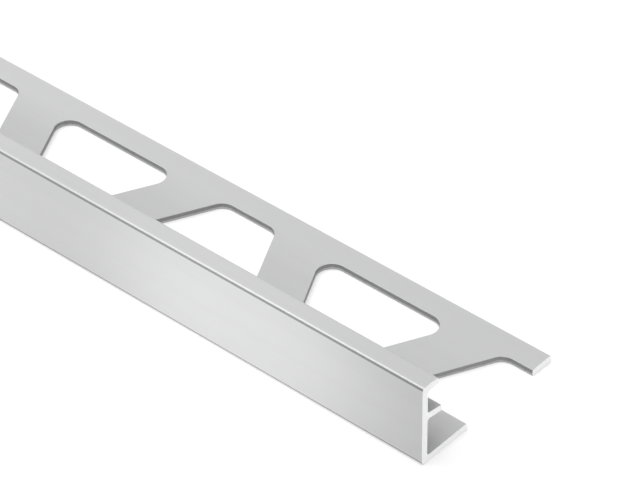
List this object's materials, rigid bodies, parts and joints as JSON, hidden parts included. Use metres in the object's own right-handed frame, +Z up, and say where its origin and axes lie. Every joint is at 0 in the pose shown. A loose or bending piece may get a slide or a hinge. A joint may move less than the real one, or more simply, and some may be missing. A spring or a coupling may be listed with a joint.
{
  "type": "tile edge trim",
  "caption": "Long thin aluminium edge trim with a plain visible face, a small top lip, a spacer rib behind it and a flat anchoring leg punched with tapered openings.",
  "frame": {"origin": "middle of the length and of the width, on the underside of the anchoring leg", "axes": "+X along the trim to the cut end that the picture shows, +Y from the visible face to the outer edge of the leg, +Z up to the top lip"},
  "size_m": [1, 0.0254, 0.0125],
  "materials": {
    "aluminium": "satin extruded aluminium, with fine lines along its length"
  },
  "bodies": {
    "root": {"edge_trim": "aluminium"}
  },
  "joints": []
}
